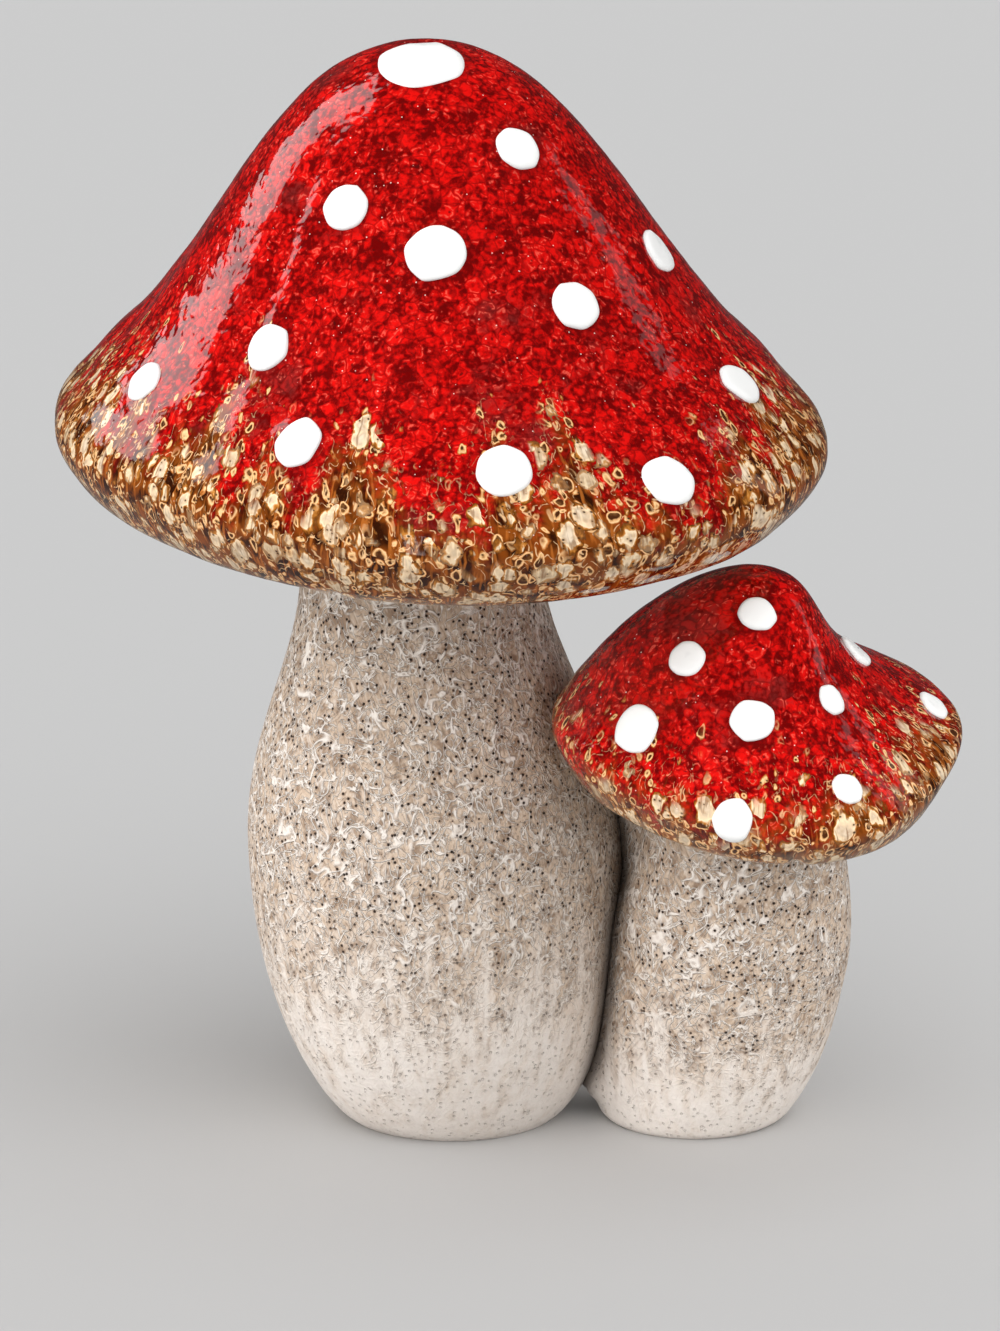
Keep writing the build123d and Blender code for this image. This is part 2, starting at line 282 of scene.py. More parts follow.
def layers(tree, value, stops):
    """Colours one inside the other, by a value."""
    ramp = add(tree, "ShaderNodeValToRGB", {0: value})
    marks = ramp.color_ramp.elements
    while len(marks) < len(stops):
        marks.new(0.5)
    for mark, (at, colour) in zip(marks, stops):
        mark.position = at
        mark.color = colour
    return ramp.outputs[0]


def slanted(tree, place, slant, shift, stretch):
    """The place turned aslant and shifted, with all that is laid on it drawn out upwards."""
    plugs = {"Vector": place, "Location": (shift, shift, shift),
             "Rotation": (slant, slant, 0), "Scale": (1.0, 1.0, stretch)}
    return add(tree, "ShaderNodeMapping", plugs, vector_type="TEXTURE").outputs[0]


def attribute(tree, key, outlet="Fac"):
    return add(tree, "ShaderNodeAttribute", attribute_name=key).outputs[outlet]


def effect(name, inlets, outlets):
    """A node group to be shared by materials, with its inlets and outlets named."""
    tree = bpy.data.node_groups.new(name, "ShaderNodeTree")
    kinds = {"vector": "NodeSocketVector", "value": "NodeSocketFloat", "colour": "NodeSocketColor"}
    for key, kind in inlets.items():
        tree.interface.new_socket(key, in_out="INPUT", socket_type=kinds[kind])
    for key, kind in outlets.items():
        tree.interface.new_socket(key, in_out="OUTPUT", socket_type=kinds[kind])
    starts = tree.nodes.new("NodeGroupInput").outputs
    return tree, starts, tree.nodes.new("NodeGroupOutput").inputs


def use(tree, group, plugs):
    """A shared effect placed in a material or in another effect."""
    return add(tree, "ShaderNodeGroup", plugs, node_tree=group).outputs


def material(name, roughness, **constants):
    """An empty material with its Principled shader, and the surface's place in millimetres."""
    made = bpy.data.materials.new(name)
    made.use_nodes = True
    tree = made.node_tree
    shader = tree.nodes["Principled BSDF"]
    shader.inputs["Roughness"].default_value = roughness
    for plug, value in constants.items():
        shader.inputs[plug.replace("_", " ")].default_value = value
    spot = add(tree, "ShaderNodeTexCoord").outputs["Object"]
    return made, tree, shader, move(tree, "MULTIPLY", spot, (1000, 1000, 1000))


def raise_skin(tree, shader, height, depth):
    """Lets a height from 0 to 1 stand out of the surface by a depth."""
    bump = add(tree, "ShaderNodeBump", {"Height": height, "Distance": depth, "Strength": 1.0})
    tree.links.new(bump.outputs[0], shader.inputs["Normal"])


# Pinholes left by gas in the firing: a dark hole in most cells, with a stained ring round it
PIT_MISSING = 0.25
PIT_CORE = 0.55
PIT_RING = 2.6
pinholes, inlet, outlet = effect(
    "pinholes", {"Place": "vector", "Spacing": "value", "Size": "value"},
    {"Hole": "value", "Halo": "value"})
pit = cells(pinholes, move(pinholes, "DIVIDE", inlet["Place"], inlet["Spacing"]), 1.0)
there = calc(pinholes, "GREATER_THAN", picks(pinholes, pit["Color"])[0], PIT_MISSING)
core = times(pinholes, inlet["Size"], PIT_CORE)
wide = times(pinholes, inlet["Size"], PIT_RING)
hole = times(pinholes, fade(pinholes, pit["Distance"], inlet["Size"], core), there)
halo = times(pinholes, fade(pinholes, pit["Distance"], wide, core), there)
pinholes.links.new(hole, outlet["Hole"])
pinholes.links.new(halo, outlet["Halo"])

# The fired clay: thin wash over brown clay, brushed aslant, with crawled hairs and pinholes
CLAY_WASHES = (
    (0.0, (0.41, 0.295, 0.205, 1)), (0.45, (0.70, 0.54, 0.405, 1)), (1.0, (0.92, 0.84, 0.77, 1)))
PATCH_BROWN = (0.24, 0.14, 0.08, 1)
BRUSH_PALE = (0.90, 0.82, 0.75, 1)
BRUSH_BROWN = (0.24, 0.155, 0.105, 1)
HAIR_PALE = (0.98, 0.91, 0.84, 1)
PIT_STAIN = (0.27, 0.14, 0.07, 1)
PIT_BROWN = (0.030, 0.014, 0.007, 1)
# Layers of hairs: how far apart in millimetres, a shift, and a slant
HAIRS = (
    (4.2, 0, 0.5), (3.0, 37, -0.45), (5.2, 71, 0.85),
    (2.4, 113, -0.8), (2.0, 151, 0.2), (3.6, 197, -0.15))
HAIR_STRETCH = 1.8
BRUSHINGS = ((0.45, 0), (-0.4, 53))
BRUSH_STRETCH = 8.0
BRUSH_WIDTH = 0.45
fired_clay, inlet, outlet = effect(
    "fired clay", {"Place": "vector", "Pale": "value"}, {"Colour": "colour", "Height": "value"})
g = fired_clay
place = inlet["Place"]
hair = None
for size, shift, slant in HAIRS:
    laid = slanted(g, place, slant, shift, HAIR_STRETCH)
    plugs = {"Vector": laid, "Scale": 1 / size, "Detail": 0.8, "Distortion": 1.1}
    swirl = add(g, "ShaderNodeTexNoise", plugs).outputs["Fac"]
    broken = fade(g, cloud(g, laid, size * 0.7, 0.0), 0.41, 0.56)
    strand = times(g, line_at(g, swirl, 0.5, 0.033, 0.004), broken)
    hair = strand if hair is None else calc(g, "MAXIMUM", hair, strand)
one_way, other_way = (
    cloud(g, slanted(g, place, slant, shift, BRUSH_STRETCH), BRUSH_WIDTH, 2.0)
    for slant, shift in BRUSHINGS)
strokes = tint(g, fade(g, cloud(g, place, 5.0, 1.0), 0.42, 0.58), one_way, other_way)
worn = calc(g, "MULTIPLY_ADD", fade(g, inlet["Pale"], 0.42, 0.95), -0.88, 1.0)
patches = fade(g, cloud(g, place, 2.6, 3.0), 0.46, 0.66)
wash = sway(g, cloud(g, place, 17.0, 2.0), 0.4, inlet["Pale"])
clay = layers(g, wash, CLAY_WASHES)
clay = stain(g, clay, PATCH_BROWN, patches, times(g, worn, 0.7))
clay = stain(g, clay, BRUSH_PALE, fade(g, strokes, 0.50, 0.68), 0.45)
clay = stain(g, clay, BRUSH_BROWN, fade(g, strokes, 0.48, 0.32), times(g, worn, 0.7))
clay = stain(g, clay, HAIR_PALE, hair, calc(g, "MULTIPLY_ADD", worn, 0.72, 0.13))
pits = use(g, pinholes, {"Place": place, "Spacing": 1.15, "Size": 0.27})
clay = stain(g, clay, PIT_STAIN, pits["Halo"], times(g, worn, 0.3))
clay = stain(g, clay, PIT_BROWN, pits["Hole"], times(g, worn, worn))
raised = times(g, calc(g, "MULTIPLY_ADD", hair, 0.7, times(g, strokes, 0.25)), worn)
g.links.new(clay, outlet["Colour"])
g.links.new(calc(g, "SUBTRACT", raised, times(g, pits["Hole"], 0.8)), outlet["Height"])

# The stems' finish: paler slip brushed up from the foot, and painted shade darkening the crease
# where the stems meet
GROOVE_SHADE_COLOUR = (0.07, 0.047, 0.033, 1)
STEM_RELIEF = 0.42 * MM
stem_stoneware, tree, shader, place = material("stem_stoneware", 0.5)
rise = attribute(tree, "rise")
brushed = cloud(tree, move(tree, "MULTIPLY", place, (1.0, 1.0, 0.06)), 2.2, 2.0)
slipped = fade(tree, sway(tree, brushed, 0.6, rise), 0.48, -0.02)
lower = times(tree, fade(tree, rise, 1.05, 0.55), 0.45)
pale = calc(tree, "MULTIPLY_ADD", slipped, 0.55, lower)
look = use(tree, fired_clay, {"Place": place, "Pale": pale})
# Painted shade: the clay turns dark brown close to the other stem, in the crease between the stems
groove_shaded = stain(tree, look["Colour"], GROOVE_SHADE_COLOUR, attribute(tree, "groove"), 0.96)
tree.links.new(groove_shaded, shader.inputs["Base Color"])
raise_skin(tree, shader, look["Height"], STEM_RELIEF)

large_stem_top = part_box("large_neck_bead")[1].z - 1.6 * MM
rings = stem_rings("large_stem", large_stem_top, rows=250, around=360)
large_stem = ring_mesh(
    "large_stem_clay", rings, rise=rings[..., 2] / large_stem_top,
    groove=groove_by(rings, skin_of("small_stem")))
large_stem.data.materials.append(stem_stoneware)
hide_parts("large_stem")
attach(large_stem, BODY)

# Short stem
# The leaning stem of the short toadstool, cast like the tall one. Its side was cut hollow in
# the leather-hard clay to nest against the belly of the tall stem, and two little bridges of
# clay, at the feet and at the neck, were wiped smooth into it.
small_stem_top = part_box("small_neck_bead")[0].z + 4.6 * MM
rings = stem_rings(
    "small_stem", small_stem_top, rows=190, around=280,
    against=skin_of("large_stem"), bridges=("foot_web", "neck_web"))
small_stem = ring_mesh(
    "small_stem_clay", rings, rise=rings[..., 2] / small_stem_top,
    groove=groove_by(rings, skin_of("large_stem")))
small_stem.data.materials.append(stem_stoneware)
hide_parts("small_stem", "foot_web", "neck_web")
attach(small_stem, BODY)

# Joining slip
# Beads of liquid clay that glue each cap to its stem, wiped into the corner under the cap.
# They fire to the colour of the stems.
SLIP_PALENESS = 0.35
SLIP_RELIEF = 0.06 * MM
slip_stoneware, tree, shader, place = material("slip_stoneware", 0.55)
elsewhere = move(tree, "ADD", place, (40, 12, 9))
look = use(tree, fired_clay, {"Place": elsewhere, "Pale": SLIP_PALENESS})
tree.links.new(look["Colour"], shader.inputs["Base Color"])
raise_skin(tree, shader, look["Height"], SLIP_RELIEF)
for name in ("large_neck_bead", "small_neck_bead"):
    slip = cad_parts[name]
    slip.data.materials.clear()
    slip.data.materials.append(slip_stoneware)
    slip.data.polygons.foreach_set("use_smooth", np.ones(len(slip.data.polygons), bool))

# Tall cap
# The bell of the tall toadstool: cast stoneware under a thick glossy glaze that fires red on
# the slopes and runs to amber and cream towards the rim, over soft folds left by the mould.
SLOPE_CENTRE = 0.24
SLOPE_END = math.radians(140)
SLOPE_STEPS = 330
SLOPE_CROWDING = 0.94
CAP_LUMPS = ((0.20, 12, 4), (0.16, 4.6, 5), (0.07, 2.3, 6))
CAP_EASE_ROUND = 4.0
CAP_EASE_DOWN = 2.0
FOLD_END = 8
FOLD_START = 25
CREASE_WIDEST = 3
POOL_WIDTH = 2.2
DOT_STEPS = 72
DOT_OVER = 8 * MM
DOT_OWN = 0.4
DOT_EASE = 2.0


def cap_grid(name, tip, around, along, under, inner):
    """Radius and height round a tipped cap, from the crown down to the lip and in under it."""
    skin = skin_of(name)
    low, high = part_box(name)
    reach = (high - low).length
    axis = tip @ Vector((0, 0, 1))
    flat = np.array([v.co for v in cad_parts[name].data.vertices]) @ np.array(axis)
    centre = (low + high) / 2
    level = flat.min() + SLOPE_CENTRE * (flat.max() - flat.min())
    centre += axis * (level - centre.dot(axis))
    turns = np.linspace(0, 2 * math.pi, around, endpoint=False)
    grid = np.zeros((along + under, around, 2))
    for j, turn in enumerate(turns):
        side = tip @ Vector((math.cos(turn), math.sin(turn), 0))
        slope = []
        for angle in np.linspace(0.0, SLOPE_END, SLOPE_STEPS):
            way = side * math.sin(angle) + axis * math.cos(angle)
            spot = skin.ray_cast(centre + way * reach, -way)[0] - centre
            slope.append((spot.dot(side), spot.dot(axis)))
        slope = np.array(slope)
        slope = slope[:slope[:, 1].argmin() + 1]
        steps = np.linalg.norm(np.diff(slope, axis=0), axis=1)
        far = np.concatenate([[0], np.cumsum(steps)])
        places = far[-1] * np.linspace(0, 1, along) ** SLOPE_CROWDING
        for n in (0, 1):
            grid[:along, j, n] = np.interp(places, far, slope[:, n])
        for k in range(under):
            r = slope[-1, 0] + (inner - slope[-1, 0]) * (k + 1) / under
            spot = skin.ray_cast(centre + side * r - axis * reach, axis)[0]
            grid[along + k, j] = (r, (spot - centre).dot(axis))
    return grid, centre, turns


def cap_points(grid, centre, turns, tip):
    """The grid's points in the object's frame."""
    rows, around = grid.shape[:2]
    local = np.zeros((rows, around, 3))
    local[..., 0] = grid[..., 0] * np.cos(turns)
    local[..., 1] = grid[..., 0] * np.sin(turns)
    local[..., 2] = grid[..., 1]
    return local @ np.array(tip).T + np.array(centre)


def facing(points):
    """Outward directions over a grid of points."""
    down = np.gradient(points, axis=0)
    across = np.roll(points, -1, axis=1) - np.roll(points, 1, axis=1)
    out = np.cross(down, across)
    return out / np.maximum(np.linalg.norm(out, axis=-1, keepdims=True), 1e-12)


def dot_place(name, centre):
    """A dot's middle, the way it faces, two ways across it, and how far its edge is all round."""
    points = np.array([v.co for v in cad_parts[name].data.vertices])
    corners = np.unique(points.round(7), axis=0)
    middle = (corners.min(0) + corners.max(0)) / 2
    out = np.linalg.eigh(np.cov((corners - corners.mean(0)).T))[1][:, 0]
    if out @ (middle - np.array(centre)) < 0:
        out = -out
    out, middle = Vector(out), Vector(middle)
    side = out.orthogonal().normalized()
    other = out.cross(side)
    solid = skin_of(name)
    shares = np.linspace(1.1, 0.3, 60) * (corners.max(0) - corners.min(0)).max() / 2
    edge = []
    for turn in np.linspace(0, 2 * math.pi, DOT_STEPS, endpoint=False):
        way = side * math.cos(turn) + other * math.sin(turn)
        tries = (far for far in shares
                 if solid.ray_cast(middle + way * far + out * DOT_OVER, -out)[0])
        edge.append(next(tries))
    edge = ease(np.array(edge), DOT_EASE, 0)
    return middle, out, side, other, edge.mean() + DOT_OWN * (edge - edge.mean())


def cap_piece(name, node, tip, around, along, under, inner, folds, dots, glaze):
    """A glazed cap: the solid's outside with folds and lumps, and its distance from the rim."""
    grid, centre, turns = cap_grid(node, tip, around, along, under, inner)
    grid[:along] = ease_open(ease(grid[:along], CAP_EASE_ROUND, 1), CAP_EASE_DOWN)
    grid[along:] = ease(grid[along:], CAP_EASE_ROUND, 1)
    grid[0] = grid[0].mean(0) * (0, 1)
    points = cap_points(grid, centre, turns, tip)
    steps = np.linalg.norm(np.diff(grid, axis=0), axis=-1)
    run = np.concatenate([np.zeros((1, around)), np.cumsum(steps, axis=0)])
    rim = (run[along - 1] - run) / MM
    out = facing(points)
    out[0] = tip @ Vector((0, 0, 1))
    worn = lumps_at(points, CAP_LUMPS)
    pool = np.zeros(rim.shape)
    for turn, width, depth, start, end in folds:
        off = (np.degrees(turns)[None] - turn + 180) % 360 - 180
        reach = np.clip((rim - end) / FOLD_END, 0, 1) * np.clip((start - rim) / FOLD_START, 0, 1)
        worn = worn + depth * np.exp(-(off / width) ** 2) * reach
        if depth > 0 and width < CREASE_WIDEST:
            pool = np.maximum(pool, np.exp(-(off / width * 1.6) ** 2) * reach)
    worn *= np.clip(rim + 3, 0, 3) / 3
    points = points - out * (np.maximum(worn, 0) * MM)[..., None]
    for dot in dots:
        place = dot_place(dot, centre)
        middle, edge = place[0], place[-1]
        near = (np.linalg.norm(points - np.array(middle), axis=-1) - edge.mean()) / MM
        pool = np.maximum(pool, np.clip(1 - near / POOL_WIDTH, 0, 1))
    girth = grid[along - 1, :, 0].mean() / MM
    flow = np.stack([
        np.broadcast_to(girth * np.cos(turns), rim.shape),
        np.broadcast_to(girth * np.sin(turns), rim.shape), rim], -1)
    piece = ring_mesh(name, points, rim=rim, flow=flow, pool=pool)
    piece.data.materials.append(glaze)
    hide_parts(node)
    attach(piece, BODY)
    return piece, centre


# The red of the slopes: bubbles with dark walls, bright curls and dark eyes, clouded over
RED_DARK = (0.15, 0.0005, 0.0007, 1)
RED_BRIGHT = (0.74, 0.005, 0.0035, 1)
RED_SMOKE = (0.15, 0.018, 0.016, 1)
RED_WALL = (0.11, 0.002, 0.002, 1)
RED_CURL = (0.92, 0.14, 0.09, 1)
RED_EYE = (0.06, 0.003, 0.003, 1)
RED_POOL = (0.15, 0.002, 0.002, 1)
BUBBLE = 2.3
FROTH = 1.6
reactive_glaze, inlet, outlet = effect(
    "reactive glaze",
    {"Place": "vector", "Flow": "vector", "Rim": "value", "Pool": "value", "Red reach": "value"},
    {"Colour": "colour", "Height": "value", "Roughness": "value"})
g = reactive_glaze
place, flow, rim, red_reach = (inlet[key] for key in ("Place", "Flow", "Rim", "Red reach"))
shaken = warp(g, place, 2.2, 2.0)
bubble = cells(g, shaken, BUBBLE)
wall = cells(g, shaken, BUBBLE, "DISTANCE_TO_EDGE")["Distance"]
chance = picks(g, bubble["Color"])
froth = cells(g, move(g, "ADD", shaken, (19.0, 7.0, 3.0)), FROTH)
fine = cloud(g, place, 1.0, 2.0)
mottle = cloud(g, place, 5.0, 3.0)
drifts = cloud(g, place, 13.0, 3.0)
bright = sway(g, chance[0], 0.6, 0.52)
bright = sway(g, fine, 2.1, bright)
bright = sway(g, mottle, 1.0, bright)
bright = sway(g, froth["Distance"], -0.7, bright)
red = tint(g, fade(g, bright, 0.0, 1.0), RED_DARK, RED_BRIGHT)
red = stain(g, red, RED_SMOKE, fade(g, sway(g, fine, 0.35, drifts), 0.56, 0.70), 0.6)
red = stain(g, red, RED_WALL, fade(g, wall, 0.10, 0.01), 0.5)
curl = times(g, line_at(g, wall, 0.16, 0.08, 0.01), fade(g, fine, 0.50, 0.62))
curled = times(g, calc(g, "GREATER_THAN", chance[1], 0.3), fade(g, mottle, 0.38, 0.56))
red = stain(g, red, RED_CURL, times(g, curl, curled), 0.55)
eyed = calc(g, "GREATER_THAN", chance[1], 0.65)
red = stain(g, red, RED_EYE, times(g, fade(g, bubble["Distance"], 0.17, 0.08), eyed), 0.75)
red = stain(g, red, RED_POOL, inlet["Pool"], 0.55)

# The run towards the rim: cream drops and ringlets in amber and brown, drawn out downwards
BROWN_DARK = (0.030, 0.006, 0.001, 1)
BROWN_AMBER = (0.25, 0.058, 0.006, 1)
AMBER_RUN = (0.58, 0.17, 0.026, 1)
CREAM_LAYERS = (
    (0.05, (0.022, 0.006, 0.001, 1)), (0.13, (0.26, 0.08, 0.010, 1)), (0.19, (0.62, 0.24, 0.04, 1)),
    (0.24, (1.0, 0.80, 0.54, 1)), (0.32, (0.88, 0.65, 0.42, 1)), (0.45, (0.67, 0.51, 0.35, 1)),
    (0.60, (0.86, 0.70, 0.52, 1)))
CREAM_DULL = (0.44, 0.31, 0.18, 1)
CREAM_STREAK = (0.18, 0.06, 0.010, 1)
CREAM_LIGHT = (1.0, 0.80, 0.52, 1)
RINGLET_LAYERS = (
    (0.08, (0.040, 0.010, 0.003, 1)), (0.15, (0.55, 0.17, 0.03, 1)), (0.22, (1.0, 0.66, 0.33, 1)),
    (0.30, (0.74, 0.38, 0.15, 1)), (0.36, (0.07, 0.02, 0.006, 1)))
THREAD_PEACH = (0.97, 0.62, 0.32, 1)
DROP = 2.7
BEAD = 1.6
running = warp(g, move(g, "MULTIPLY", flow, (1.0, 1.0, 0.6)), 2.4, 2.2)
melt = calc(g, "SUBTRACT", cloud(g, running, 0.8, 2.0), 0.5)
runs = cloud(g, warp(g, move(g, "MULTIPLY", flow, (1.0, 1.0, 0.16)), 2.0, 0.8), 0.6, 1.5)
drop = cells(g, running, DROP)
luck = picks(g, drop["Color"])
drop_size = calc(g, "MULTIPLY_ADD", luck[0], 0.32, 0.20)
deep = calc(g, "SUBTRACT", calc(g, "MULTIPLY_ADD", melt, -0.45, drop_size), drop["Distance"])
bead = cells(g, move(g, "ADD", running, (13.0, 5.0, 9.0)), BEAD)
fluke = picks(g, bead["Color"])
bead_size = calc(g, "MULTIPLY_ADD", fluke[0], 0.30, 0.18)
shallow = calc(g, "SUBTRACT", calc(g, "MULTIPLY_ADD", melt, -0.4, bead_size), bead["Distance"])
fingers = cloud(g, move(g, "MULTIPLY", flow, (1.0, 1.0, 0.12)), 10.0, 2.0)
drips = cloud(g, move(g, "MULTIPLY", flow, (1.0, 1.0, 0.2)), 3.0, 1.0)
swing = times(g, red_reach, 1.7)
border = sway(g, fingers, swing, red_reach)
border = sway(g, drips, times(g, swing, 0.4), border)
above = calc(g, "SUBTRACT", rim, border)
drop_own = fade(g, sway(g, luck[1], 22.0, above), 2.0, -2.0)
bead_own = fade(g, sway(g, fluke[1], 32.0, above), 5.0, -2.0)
cream_drop = times(g, fade(g, deep, -0.16, -0.11), drop_own)
cream_bead = times(g, fade(g, shallow, -0.12, -0.07), bead_own)
ground = tint(g, fade(g, cloud(g, running, 2.2, 2.0), 0.36, 0.66), BROWN_DARK, BROWN_AMBER)
ground = stain(g, ground, AMBER_RUN, fade(g, runs, 0.52, 0.68), 0.6)
ground = tint(g, fade(g, above, 7.0, -6.0), red, ground)
cream = layers(g, calc(g, "ADD", deep, 0.2), CREAM_LAYERS)
cream = stain(g, cream, CREAM_DULL, fade(g, luck[2], 0.55, 1.0), 0.5)
cream = stain(g, cream, CREAM_STREAK, fade(g, runs, 0.45, 0.35), 0.6)
cream = stain(g, cream, CREAM_LIGHT, fade(g, runs, 0.58, 0.68), 0.5)
ringlet = layers(g, calc(g, "ADD", shallow, 0.2), RINGLET_LAYERS)
colour = tint(g, cream_bead, ground, ringlet)
swirl = cloud(g, running, 1.7, 1.0)
thread = times(g, line_at(g, swirl, 0.5, 0.028, 0.006), fade(g, melt, -0.06, 0.08))
threaded = fade(g, calc(g, "MULTIPLY_ADD", melt, 30.0, above), 15.0, 1.0)
colour = stain(g, colour, THREAD_PEACH, times(g, thread, threaded), 0.75)
colour = tint(g, cream_drop, colour, cream)

# Pinholes in the cream, white specks on the gloss that are partly painted glints, the milky lip,
# and the bare clay underneath
GLAZE_PIT_STAIN = (0.34, 0.15, 0.045, 1)
GLAZE_PIT = (0.035, 0.014, 0.006, 1)
SPECK_AND_GLINT_WHITE = (0.95, 0.80, 0.72, 1)
LIP_MILK = (0.44, 0.36, 0.26, 1)
LIP_TAN = (0.50, 0.35, 0.21, 1)
BARE_CLAY = (0.42, 0.32, 0.22, 1)
pits = use(g, pinholes, {"Place": flow, "Spacing": 1.0, "Size": 0.26})
creamy = calc(g, "MAXIMUM", cream_drop, cream_bead)
colour = stain(g, colour, GLAZE_PIT_STAIN, times(g, pits["Halo"], creamy), 0.4)
colour = stain(g, colour, GLAZE_PIT, times(g, pits["Hole"], creamy), 0.92)
# White specks in the glaze, partly painted highlights standing in for tiny glints on the gloss
speck_and_glint_cells = cells(g, place, 1.7)
lit = calc(g, "GREATER_THAN", picks(g, speck_and_glint_cells["Color"])[2], 0.45)
speck_and_glint = times(g, fade(g, speck_and_glint_cells["Distance"], 0.085, 0.05), lit)
colour = stain(g, colour, SPECK_AND_GLINT_WHITE, speck_and_glint, 0.8)
milk = times(g, fade(g, rim, 13.0, 5.0), fade(g, cloud(g, flow, 5.0, 2.0), 0.40, 0.62))
colour = stain(g, colour, LIP_MILK, milk, 0.35)
colour = stain(g, colour, LIP_TAN, fade(g, rim, 5.4, 4.2), 0.75)
colour = tint(g, fade(g, rim, -5.0, -12.0), colour, BARE_CLAY)
g.links.new(colour, outlet["Colour"])
bubbled, dripped = fade(g, bubble["Distance"], 0.7, 0.0), fade(g, deep, -0.3, 0.4)
domes = tint(g, fade(g, above, 2.0, -6.0), bubbled, dripped)
uneven = times(g, cloud(g, place, 2.6, 1.0), 0.6)
g.links.new(calc(g, "MULTIPLY_ADD", domes, 0.5, uneven), outlet["Height"])
g.links.new(calc(g, "MULTIPLY_ADD", mottle, 0.06, 0.03), outlet["Roughness"])

GLAZE_IOR = 1.52
GLAZE_RELIEF = 0.10 * MM


def cap_glaze(name, red_reach):
    """The glaze as it ran on one cap, with the red beginning so many millimetres from the rim."""
    glaze, tree, shader, place = material(name, 0.07, IOR=GLAZE_IOR)
    look = use(tree, reactive_glaze, {
        "Place": place, "Red reach": red_reach, "Rim": attribute(tree, "rim"),
        "Pool": attribute(tree, "pool"), "Flow": attribute(tree, "flow", "Vector")})
    tree.links.new(look["Colour"], shader.inputs["Base Color"])
    tree.links.new(look["Roughness"], shader.inputs["Roughness"])
    raise_skin(tree, shader, look["Height"], GLAZE_RELIEF)
    return glaze


def tipped(right, forward):
    """How a cap is tipped, in degrees to the right and towards the front."""
    lean = Matrix.Rotation(math.radians(right), 3, "Y")
    return lean @ Matrix.Rotation(math.radians(forward), 3, "X")


large_dots = sorted(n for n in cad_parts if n.startswith("large_spot"))
large_tip = tipped(-0.3, 5.4)
# Folds: turn and half width in degrees, depth, and start and end in millimetres from the rim
LARGE_FOLDS = (
    (228, 5.0, 0.8, 95, 20), (240, 4.0, 0.6, 80, 25), (255, 1.6, 0.5, 60, -2),
    (258.5, 2.4, -0.25, 60, -2), (300, 6.0, 0.35, 75, 5), (330, 6.0, 0.4, 75, 5),
    (20, 6.0, 0.5, 80, 5), (75, 7.0, 0.5, 80, 5), (130, 6.0, 0.5, 80, 5), (180, 6.0, 0.5, 80, 5),
)
large_glaze = cap_glaze("large_cap_glaze", 33.0)
large_cap, large_centre = cap_piece(
    "large_cap_glazed", "large_cap", large_tip, around=420, along=200, under=30, inner=24.0 * MM,
    folds=LARGE_FOLDS, dots=large_dots, glaze=large_glaze)

# Short cap
# The smaller, more tipped bell, glazed in the same batch. It leans on the tall stem, and a
# crease in the clay runs from its slope down over the front of the rim.
small_dots = sorted(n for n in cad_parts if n.startswith("small_spot"))
small_tip = tipped(2.3, 12.0)
SMALL_FOLDS = (
    (280, 2.4, 0.9, 34, -3), (250, 5.0, 0.4, 40, 3), (318, 6.0, 0.4, 40, 3),
    (30, 7.0, 0.4, 40, 3), (110, 7.0, 0.4, 40, 3),
)
small_glaze = cap_glaze("small_cap_glaze", 14.0)
small_cap, small_centre = cap_piece(
    "small_cap_glazed", "small_cap", small_tip, around=320, along=150, under=24, inner=18.5 * MM,
    folds=SMALL_FOLDS, dots=small_dots, glaze=small_glaze)

# White dots
# Drops of thick white enamel, dabbed on the glaze one by one before the last firing. They
# stand proud with steep round edges, a few dents and here and there a pinhole.
ENAMEL_WHITE = (0.97, 0.97, 0.955, 1)
ENAMEL_DENT_SHADE = (0.66, 0.67, 0.68, 1)
ENAMEL_PIT = (0.12, 0.11, 0.10, 1)
ENAMEL_RELIEF = 0.05 * MM
dot_enamel, tree, shader, place = material("dot_enamel", 0.3)
# Dents in the enamel: sunk into the surface by the bump, and coloured grey in them as painted shade
dents_and_shade = fade(tree, cloud(tree, place, 2.6, 2.0), 0.62, 0.78)
white = stain(tree, ENAMEL_WHITE, ENAMEL_DENT_SHADE, dents_and_shade, 0.3)
pits = use(tree, pinholes, {"Place": place, "Spacing": 6.5, "Size": 0.055})
white = stain(tree, white, ENAMEL_PIT, pits["Hole"], 0.85)
tree.links.new(white, shader.inputs["Base Color"])
low_spots = calc(tree, "MULTIPLY_ADD", dents_and_shade, -0.6, cloud(tree, place, 3.5, 1.0))
raise_skin(tree, shader, calc(tree, "SUBTRACT", low_spots, pits["Hole"]), ENAMEL_RELIEF)
DOT_RISE = 0.85 * MM
DOT_TUCK = 0.25 * MM
DOT_SIDES = 11
DOT_CORNERS = 16
DOT_SHOULDER = 7
# Rings of a dot as shares of its radius: out over the top, then back in under the glaze
DOT_TOP = (0.12, 0.3, 0.5, 0.68, 0.8, 0.88, 0.94, 0.975, 0.993, 1.0)
DOT_UNDER = (1.0, 0.9, 0.5, 0.1)


